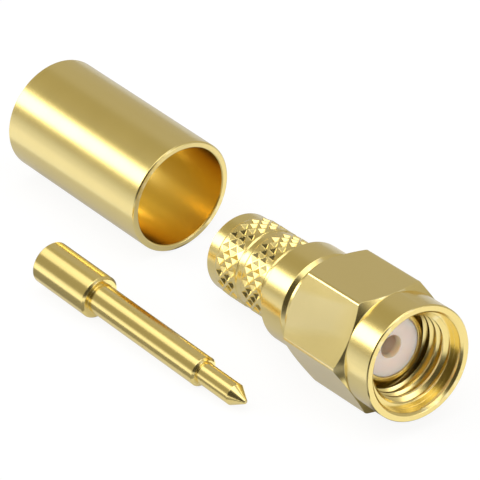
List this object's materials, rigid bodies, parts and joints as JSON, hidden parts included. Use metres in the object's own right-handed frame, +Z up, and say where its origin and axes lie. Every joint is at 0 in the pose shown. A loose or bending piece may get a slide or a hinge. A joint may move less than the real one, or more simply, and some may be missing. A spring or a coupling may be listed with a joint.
{
  "type": "sma connector",
  "caption": "Gold-plated coaxial crimp plug with a captive hexagon coupling nut and a knurled crimp stem, its loose centre contact pin and crimp ferrule lying beside it.",
  "frame": {"origin": "centre of the kit's plan box, on the bench it lies on", "axes": "+X the way the plug's mating face points, +Z up from the bench"},
  "size_m": [0.0402, 0.0164, 0.0089],
  "materials": {
    "plated_body": "gold-plated turned brass, bright, with a diamond knurl",
    "spring_bronze": "plain spring bronze",
    "insulator": "white PTFE, matte and slightly waxy",
    "plated_pin": "gold-plated turned brass, bright",
    "plated_ferrule": "gold-plated annealed tube, bright with faint drawing lines",
    "plated_nut": "gold-plated turned and milled brass, bright flats"
  },
  "bodies": {
    "connector": {"connector_body": "plated_body", "retaining_ring": "spring_bronze", "insulator": "insulator", "contact_pin": "plated_pin", "crimp_ferrule": "plated_ferrule"},
    "nut": {"coupling_nut": "plated_nut"}
  },
  "joints": [
    {"name": "nut_spin", "type": "hinge", "parent": "connector", "child": "nut", "pos_m": [0.01965, 0.00359, 0.00496], "axis": [0.9936, 0, 0.1132], "continuous": true}
  ]
}
